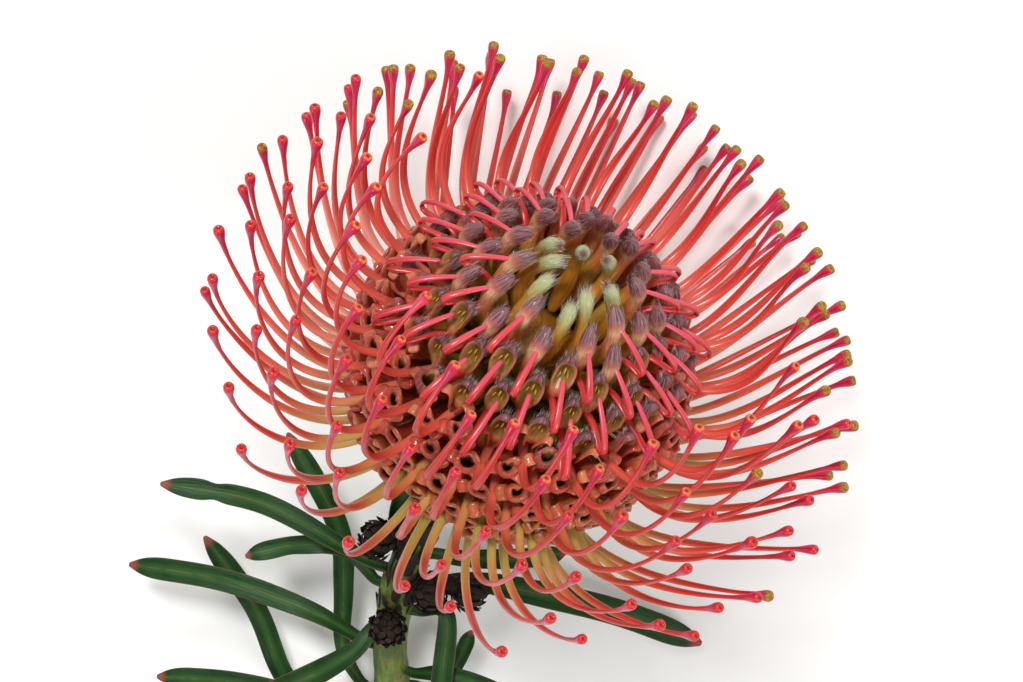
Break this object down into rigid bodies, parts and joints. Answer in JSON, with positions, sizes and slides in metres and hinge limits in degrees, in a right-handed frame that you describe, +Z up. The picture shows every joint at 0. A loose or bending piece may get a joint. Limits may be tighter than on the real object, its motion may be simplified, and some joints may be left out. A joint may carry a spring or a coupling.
{
  "type": "pincushion protea flower",
  "caption": "Cut pincushion protea flower head with radiating hooked styles, on a short leafy stem, lying on a surface.",
  "frame": {"origin": "centre of the bounding box, at the level of the surface that the flower lies on", "axes": "+Z up; the flower head faces -Y and looks up by 30 degrees; the cut stem runs back along +Y and its end lies on the surface"},
  "size_m": [0.118, 0.1628, 0.1046],
  "materials": {
    "stem": "yellow-green bark with brown and red marks, satin",
    "perianth": "salmon to olive waxy tepals with purple hairy tips, satin",
    "style": "waxy coral red, paler at the foot and pink at the tip, satin",
    "leaf": "dark green and leathery with red-brown edges, satin",
    "dried_bud": "dry dark brown scales, matte"
  },
  "bodies": {
    "root": {"stem_and_receptacle": "stem", "perianth_row_01": "perianth", "perianth_row_02": "perianth", "perianth_row_03": "perianth", "perianth_row_04": "perianth", "perianth_row_05": "perianth", "perianth_row_06": "perianth", "perianth_row_07": "perianth", "perianth_row_08": "perianth", "perianth_row_09": "perianth", "perianth_row_10": "perianth", "perianth_row_11": "perianth", "perianth_row_12": "perianth", "perianth_row_13": "perianth", "perianth_row_14": "perianth", "perianth_row_15": "perianth", "perianth_row_16": "perianth", "perianth_row_17": "perianth", "perianth_row_18": "perianth", "perianth_row_19": "perianth", "perianth_row_20": "perianth", "perianth_row_21": "perianth", "style_row_01": "style", "style_row_02": "style", "style_row_03": "style", "style_row_04": "style", "style_row_05": "style", "style_row_06": "style", "style_row_07": "style", "style_row_08": "style", "style_row_09": "style", "style_row_10": "style", "style_row_11": "style", "style_row_12": "style", "style_row_13": "style", "style_row_14": "style", "style_row_15": "style", "style_row_16": "style", "style_row_17": "style", "style_row_18": "style", "style_row_19": "style", "style_row_20": "style", "style_row_21": "style", "leaf_left_upper": "leaf", "leaf_left_long": "leaf", "leaf_left_low": "leaf", "leaf_left_wavy": "leaf", "leaf_behind_left": "leaf", "leaf_lower_left": "leaf", "leaf_bottom_left": "leaf", "leaf_middle": "leaf", "leaf_right_long": "leaf", "leaf_right_small": "leaf", "leaf_right_upper": "leaf", "leaf_behind_head": "leaf", "leaf_right_low": "leaf", "dried_bud_left_upper": "dried_bud", "dried_bud_right_inner": "dried_bud", "dried_bud_right_outer": "dried_bud", "dried_bud_left_lower": "dried_bud"}
  },
  "joints": []
}
